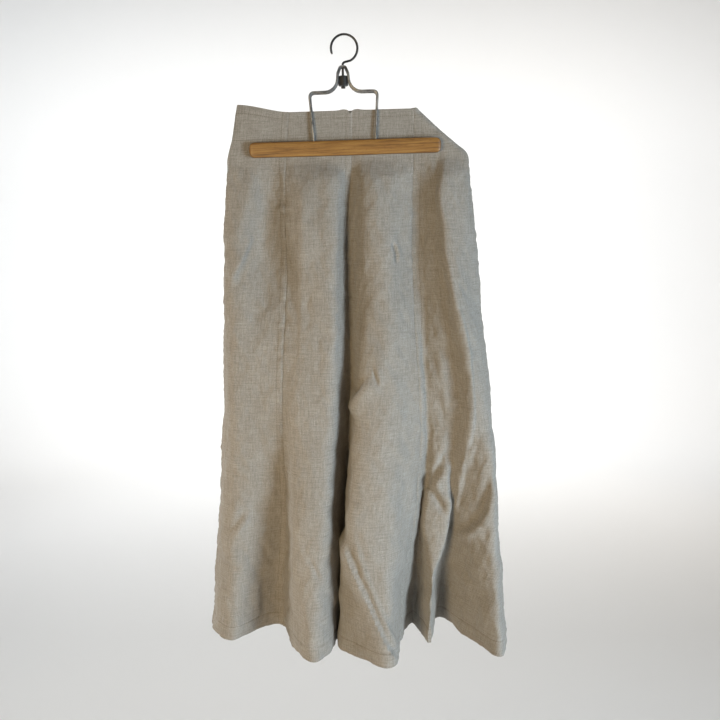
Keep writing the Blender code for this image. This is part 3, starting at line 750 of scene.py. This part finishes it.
def goreFace(name, form):
    # height of the seams, the waist with its facing, and the hem with its little roping
    r, free = relief, form["free"]
    fromTop, fromHem = form["fromTop"], form["fromHem"]
    k = goreNames.index(name)
    leftSeam, rightSeam = form["leftSeam"], form["rightSeam"]
    face = seamRelief(form["fromLeft"], leftSeam[0] == "right", leftSeam[1])
    face += seamRelief(form["fromRight"], rightSeam[0] == "left", rightSeam[1])
    inClamp = r["facingInClamp"]
    face += r["facing"] * smoothStep((edges["facing"] - fromTop) / 2.0) * (inClamp + (1 - inClamp) * free)
    face -= r["waistGroove"] * np.exp(-((fromTop - edges["waistStitch"]) / r["waistWidth"]) ** 2)
    face -= r["facingGroove"] * np.exp(-((fromTop - edges["facing"]) / r["waistWidth"]) ** 2)
    face += r["hem"] * smoothStep((edges["hemStitch"] - fromHem) / 1.6)
    face -= r["groove"] * np.exp(-((fromHem - edges["hemStitch"]) / r["grooveWidth"]) ** 2)
    roping = wander(form["want"].mean(0) + 400 * k, 51 + k, *r["ropingWaves"])[None, :]
    face += r["roping"] * roping * smoothStep((edges["hemStitch"] + 8 - fromHem) / 10)
    face *= r["inClamp"] + (1 - r["inClamp"]) * free
    return face


def closureNotch(form):
    # how far the two middle gores dip at the closure, a bell with a low rim, fading downwards
    n = notch
    off = form["x"] - n["x"]
    dip = n["deep"] * np.exp(-(off / n["half"]) ** 2)
    dip -= n["rim"] * np.exp(-((np.abs(off) - n["rimAt"]) / n["rimHalf"]) ** 2)
    return dip * smoothStep(1 - form["fromTop"] / n["down"])


def giveStitches(piece, form):
    # each point's distance to the nearest line of stitching down the cloth and across it
    fromTop, fromHem = form["fromTop"], form["fromHem"]
    side = np.full_like(form["x"], spacing["far"])
    for gap, seam, pressed in ((form["fromLeft"], form["leftSeam"], "right"),
                               (form["fromRight"], form["rightSeam"], "left")):
        if seam[0] == pressed:
            side = np.minimum(side, np.abs(gap - seam[1]))
    cross = np.minimum(np.abs(fromTop - edges["waistStitch"]), np.abs(fromTop - edges["facing"]))
    cross = np.minimum(cross, np.abs(fromHem - edges["hemStitch"]))
    giveValue(piece, "sideStitch", np.tile(side.ravel() * mm, 2))
    giveValue(piece, "crossStitch", np.tile(cross.ravel() * mm, 2))


def buildGore(name, material):
    # one gore: its smooth form, moved along the normal by the lift and the face's relief, then
    # by half the wall to either side
    s, r = skirt, relief
    k = goreNames.index(name)
    z = rowHeights()
    form = goreForm(name, z)
    fromTop, fromHem = form["fromTop"], form["fromHem"]
    wall = s["wall"] + r["turned"] * smoothStep((edges["facing"] - fromTop) / 3)
    wall += r["turned"] * smoothStep((edges["hemStitch"] - fromHem) / 2)
    # the wall's edges are rounded at waist and hem
    rounded = 1 - 0.5 * np.exp(-(fromHem / 0.5) ** 2) - 0.5 * np.exp(-(fromTop / 0.5) ** 2)
    middle = s["outer"] - wall / 2 + goreLift(name, z, form) + goreFace(name, form)
    outer = form["p"] + form["normal"] * (middle + wall / 2 * rounded)[..., None]
    inner = form["p"] + form["normal"] * (middle - wall / 2 * rounded)[..., None]
    if name in ("front_left", "front_right"):
        sink = closureNotch(form)
        outer[..., 2] -= sink
        inner[..., 2] -= sink
    if name.endswith("right"):
        outer, inner = foldCorner(outer), foldCorner(inner)
    verts, quads = gridWall(outer * mm, inner * mm)
    piece = makePiece(name.replace("_", " ").title().replace(" ", "") + "Gore", verts, quads, material)
    across = form["want"] - form["width"][:, None] / 2 + spacing["apart"] * k
    uv = np.stack([across, -fromTop], -1).reshape(-1, 2) * mm
    giveUv(piece, np.concatenate([uv, uv]))
    giveStitches(piece, form)
    # lengths of the grid's columns on the smooth form, which with its rows give the cut
    slant = np.linalg.norm(np.diff(form["p"], axis=0), axis=-1).sum(0)
    return piece, form["width"], slant


print("linen")
linen = linenMaterial("linen", linenLook)
print("gores")
for name in gores:
    piece, width, slant = buildGore(name, linen)
    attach(piece, "root")
    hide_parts(name)


# ---------- the wooden jaws ----------

jaws = {
    "length": 306.0, "height": 24.0, "depth": 12.0, "z": -171.0, "inner": 2.8,
    "end": 11.0, "pivot": -130.0,
    "corner": 5.0,       # exponent of the section: 2 is round, more is squarer
    "tallEnd": 2.6, "deepEnd": 4,                # exponents of the ends' rounding
    "uneven": 0.25, "unevenLength": 37,          # hand-eased faces are never quite flat
    "edgeShade": 0.8, "endShadeFrom": 0.72,            # darkness of the painted shade at the edges, share of an end left without painted shade
    "rings": 22, "along": 120, "around": 73,
}


def hang(p):
    # turns level hanger points about the pivot by the tilt
    p = np.array(p, float)
    a = skirt["tilt"]
    x, z = p[..., 0].copy(), p[..., 2] - jaws["pivot"]
    p[..., 0] = x * math.cos(a) - z * math.sin(a)
    p[..., 2] = x * math.sin(a) + z * math.cos(a) + jaws["pivot"]
    return p


def buildJaw(name, side, material):
    # superellipse section carried along the bar; over the last stretch its height and depth
    # close as (1 - e^q)^(1/q) of the share e of that stretch
    j = jaws
    half = j["length"] / 2
    close = np.sin(np.linspace(0, math.pi / 2, j["rings"]))
    straight = np.linspace(-(half - j["end"]), half - j["end"], j["along"])[1:-1]
    x = np.concatenate([-(half - j["end"]) - j["end"] * close[::-1], straight,
                        half - j["end"] + j["end"] * close])
    e = np.clip((np.abs(x) - half + j["end"]) / j["end"], 0, 1)
    tallEnd, deepEnd = j["tallEnd"], j["deepEnd"]
    tall = j["height"] / 2 * np.maximum(1 - e ** tallEnd, 1e-6) ** (1 / tallEnd)
    deep = j["depth"] / 2 * np.maximum(1 - e ** deepEnd, 1e-6) ** (1 / deepEnd)
    a = np.linspace(0, 2 * math.pi, j["around"])[:-1]
    power = 2 / j["corner"]
    cy = np.sign(np.cos(a)) * np.abs(np.cos(a)) ** power
    cz = np.sign(np.sin(a)) * np.abs(np.sin(a)) ** power
    y = side * (j["inner"] + j["depth"] / 2) + deep[:, None] * cy[None, :]
    z = j["z"] + tall[:, None] * cz[None, :]
    z += j["uneven"] * np.sin(x / j["unevenLength"] + side)[:, None] * np.abs(cz)[None, :]
    p = hang(np.stack([np.broadcast_to(x[:, None], y.shape), y, z], -1)) * mm
    rows, cols = y.shape
    index = np.arange(rows * cols).reshape(rows, cols)
    nxt = np.roll(index, -1, axis=1)
    quads = np.stack([index[:-1], nxt[:-1], nxt[1:], index[1:]], -1).reshape(-1, 4)
    verts = p.reshape(-1, 3)
    piece = makePiece(name, verts, quads, material, 80)
    closeEnds(piece)
    # painted shade: the wood is darker at its long edges and towards its ends
    rim = np.exp(-((1 - np.abs(cz)[None, :]) * tall[:, None]) ** 2) * j["edgeShade"]
    rim = np.maximum(rim, smoothStep((e - j["endShadeFrom"]) / (1 - j["endShadeFrom"]))[:, None])
    giveValue(piece, "rim", rim)
    return piece


def closeEnds(piece):
    # fans the two open end rings shut and turns every face outwards
    bm = bmesh.new()
    bm.from_mesh(piece.data)
    open_ = [e for e in bm.edges if e.is_boundary]
    if open_:
        bmesh.ops.holes_fill(bm, edges=open_, sides=0)
    bmesh.ops.recalc_face_normals(bm, faces=bm.faces)
    bm.to_mesh(piece.data)
    bm.free()
    for polygon in piece.data.polygons:
        polygon.use_smooth = True


print("jaws")
for name, node, side, shift in (("JawFront", "jaw_front", -1, 0.0), ("JawBack", "jaw_back", 1, 0.7)):
    piece = buildJaw(name, side, woodMaterial(name + "Wood", woodLook, shift))
    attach(piece, "root")
    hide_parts(node)


# ---------- wires, barrel and hook ----------

print("wires")
# bright and dull tone of the plating, roughness and metallic
wireLooks = {
    "platedWire": ((0.34, 0.34, 0.335), (0.15, 0.15, 0.148), 0.36, 0.9),
    "darkWire": ((0.075, 0.075, 0.075), (0.030, 0.030, 0.030), 0.40, 0.8),
}
steel, dark = [wireMaterial(name, *look) for name, look in wireLooks.items()]
for node, material in (("frame_front", steel), ("frame_back", steel), ("hook", dark),
                       ("neck_barrel", barrelMaterial("blackBarrel", barrelLook))):
    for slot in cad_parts[node].material_slots:
        slot.material = material


# ---------- room, light and camera ----------

print("room")
room = {
    "floor": -1.42, "radius": 4.6, "sweep": 1.6, "height": 5.0,
    "wall": (0.78, 0.78, 0.775), "around": 96,
}


def buildRoom():
    # turned bowl: level floor, quarter circle, upright wall, seen from inside
    r = room
    a = np.linspace(0, math.pi / 2, 20)
    flat = r["radius"] - r["sweep"]
    out = np.concatenate([[0.001, flat / 2], flat + r["sweep"] * np.sin(a), [r["radius"]]])
    up = np.concatenate([[0.0, 0.0], r["sweep"] * (1 - np.cos(a)), [r["height"]]]) + r["floor"]
    turn = np.linspace(0, 2 * math.pi, r["around"] + 1)[:-1]
    p = np.stack([out[:, None] * np.cos(turn), out[:, None] * np.sin(turn),
                  np.broadcast_to(up[:, None], (len(up), len(turn)))], -1)
    index = np.arange(len(up) * len(turn)).reshape(len(up), len(turn))
    nxt = np.roll(index, -1, axis=1)
    quads = np.stack([index[:-1], nxt[:-1], nxt[1:], index[1:]], -1).reshape(-1, 4)
    # one small face shuts the middle of the floor
    quads = np.concatenate([quads, [index[0, ::r["around"] // 4]]])
    n = Nodes("paleRoom")
    n.set("Base Color", (*r["wall"], 1.0))
    n.set("Roughness", 0.9)
    return makePiece("Room", p.reshape(-1, 3), quads, n.material, 180)


buildRoom()

lights = {
    # place, where it looks, size, watts, colour, width of its beam
    "window": ((1.98, -1.72, -0.70), (0.0, 0.0, -0.74), (0.85, 0.85), 13.3, (0.715, 0.865, 1.0), 80),
    "lamp": ((-1.15, -2.3, -0.62), (0.0, 0.0, -0.70), (0.7, 0.7), 6.2, (1.0, 0.73, 0.39), 80),
    "side": ((-2.5, 0.1, -0.42), (-0.2, 0.0, -0.5), (0.7, 0.7), 5.6, (0.96, 0.98, 1.0), 80),
    "rear": ((-1.9, 2.0, -0.1), (0.0, 0.0, -0.62), (0.8, 0.8), 9, (0.92, 0.96, 1.0), 110),
    "rearLow": ((1.7, 2.3, -0.5), (0.0, 0.0, -0.62), (0.8, 0.8), 3, (1.0, 0.84, 0.64), 110),
    "ceiling": ((0.0, 1.5, 2.6), (0.0, 1.3, -1.4), (2.2, 2.2), 24, (1.0, 0.98, 0.95), 120),
    "backdrop": ((0.0, 2.2, 0.6), (0.0, 4.6, -1.2), (3.4, 0.6), 84, (1.0, 1.0, 1.0), 180),
}
# only soft light from these, no glare along the varnished wood
glareless = ("side", "rear", "rearLow")
skyLight = {"colour": (0.95, 0.97, 1.0, 1.0), "strength": 0.05}


def aim(obj, target):
    # turns an object so that its -Z axis points at the target
    gap = np.array(target) - np.array(obj.location)
    gap = gap / np.linalg.norm(gap)
    obj.rotation_euler = (math.acos(-gap[2]), 0.0, math.atan2(-gap[0], gap[1]))


for name, (place, target, size, watts, colour, beam) in lights.items():
    lamp = bpy.data.lights.new(name, "AREA")
    lamp.shape = "RECTANGLE"
    lamp.size, lamp.size_y = size
    lamp.energy = watts
    lamp.color = colour
    lamp.spread = math.radians(beam)
    holder = bpy.data.objects.new(name, lamp)
    bpy.context.scene.collection.objects.link(holder)
    holder.location = place
    holder.visible_glossy = name not in glareless
    aim(holder, target)

world = bpy.data.worlds.new("paleWorld")
world.use_nodes = True
sky = world.node_tree.nodes["Background"]
sky.inputs[0].default_value = skyLight["colour"]
sky.inputs[1].default_value = skyLight["strength"]
bpy.context.scene.world = world
bpy.context.scene.view_settings.view_transform = "Standard"

view = {"x": 0.0249, "away": 1.30, "z": -0.270, "down": 10.76, "lens": 39.2, "sensor": 36.0}
camera = bpy.data.objects.new("Camera", bpy.data.cameras.new("Camera"))
bpy.context.scene.collection.objects.link(camera)
camera.location = (view["x"], -view["away"], view["z"])
camera.rotation_euler = (math.radians(90 - view["down"]), 0.0, 0.0)
camera.data.lens = view["lens"]
camera.data.sensor_width = view["sensor"]
bpy.context.scene.camera = camera
